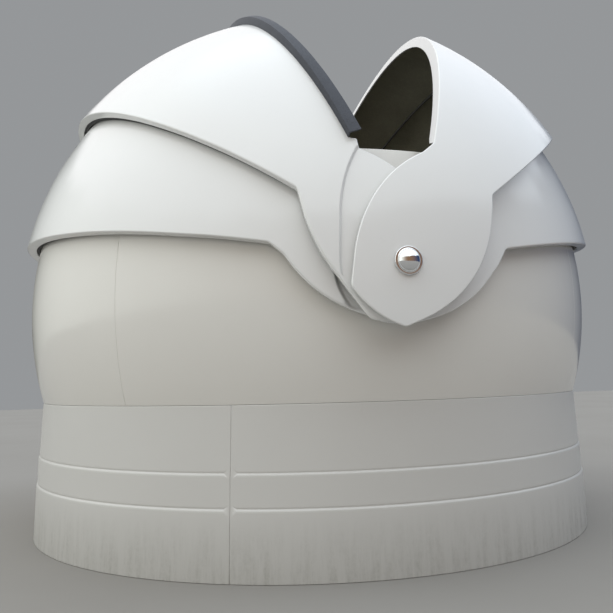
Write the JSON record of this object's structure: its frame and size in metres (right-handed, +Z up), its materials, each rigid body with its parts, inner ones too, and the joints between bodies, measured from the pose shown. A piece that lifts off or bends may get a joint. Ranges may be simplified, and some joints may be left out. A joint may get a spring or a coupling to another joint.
{
  "type": "clamshell observatory dome",
  "caption": "Round fibreglass observatory dome on a low wall ring, with nested ball-slice shutters that swing down to either side about one level axle.",
  "frame": {"origin": "on the ground at the middle of the wall ring", "axes": "+Z up, +Y along the shutter axle towards the back, +X towards the right-hand shutters"},
  "size_m": [2.3288, 2.546, 2.0442],
  "materials": {
    "wall_gelcoat": "gloss, faintly grimed",
    "body_gelcoat": "gloss",
    "shutter_gelcoat": "gloss",
    "rim_rubber": "matt",
    "closing_rubber": "matt",
    "zinc": "zinc plated",
    "steel": "bright",
    "chrome": "mirror",
    "bronze": "machined"
  },
  "bodies": {
    "dome_base": {"wall_panel_1": "wall_gelcoat", "wall_panel_2": "wall_gelcoat", "wall_panel_3": "wall_gelcoat", "wall_panel_4": "wall_gelcoat", "fixed_body_front": "body_gelcoat", "fixed_body_right": "body_gelcoat", "fixed_body_back": "body_gelcoat", "fixed_body_left": "body_gelcoat", "axle_plate_front": "zinc", "axle_front": "steel", "axle_cap_front": "chrome", "axle_plate_back": "zinc", "axle_back": "steel", "axle_cap_back": "chrome"},
    "left_outer": {"shutter_left_outer": "shutter_gelcoat", "rim_seal_left_outer": "rim_rubber", "bush_left_outer_front": "bronze", "bush_left_outer_back": "bronze", "closing_seal": "closing_rubber"},
    "left_inner": {"shutter_left_inner": "shutter_gelcoat", "rim_seal_left_inner": "rim_rubber", "bush_left_inner_front": "bronze", "bush_left_inner_back": "bronze"},
    "right_outer": {"shutter_right_outer": "shutter_gelcoat", "rim_seal_right_outer": "rim_rubber", "bush_right_outer_front": "bronze", "bush_right_outer_back": "bronze"},
    "right_inner": {"shutter_right_inner": "shutter_gelcoat", "rim_seal_right_inner": "rim_rubber", "bush_right_inner_front": "bronze", "bush_right_inner_back": "bronze"}
  },
  "joints": [
    {"name": "left_outer_hinge", "type": "hinge", "parent": "dome_base", "child": "left_outer", "pos_m": [0, 0, 0.849], "axis": [0, -1, 0], "range_deg": [-19, 46.5]},
    {"name": "right_outer_hinge", "type": "hinge", "parent": "dome_base", "child": "right_outer", "pos_m": [0, 0, 0.849], "axis": [0, 1, 0], "range_deg": [-18.5, 47]},
    {"name": "left_inner_hinge", "type": "hinge", "parent": "dome_base", "child": "left_inner", "pos_m": [0, 0, 0.849], "axis": [0, -1, 0], "range_deg": [0, 26]},
    {"name": "right_inner_hinge", "type": "hinge", "parent": "dome_base", "child": "right_inner", "pos_m": [0, 0, 0.849], "axis": [0, 1, 0], "range_deg": [0, 26]}
  ]
}
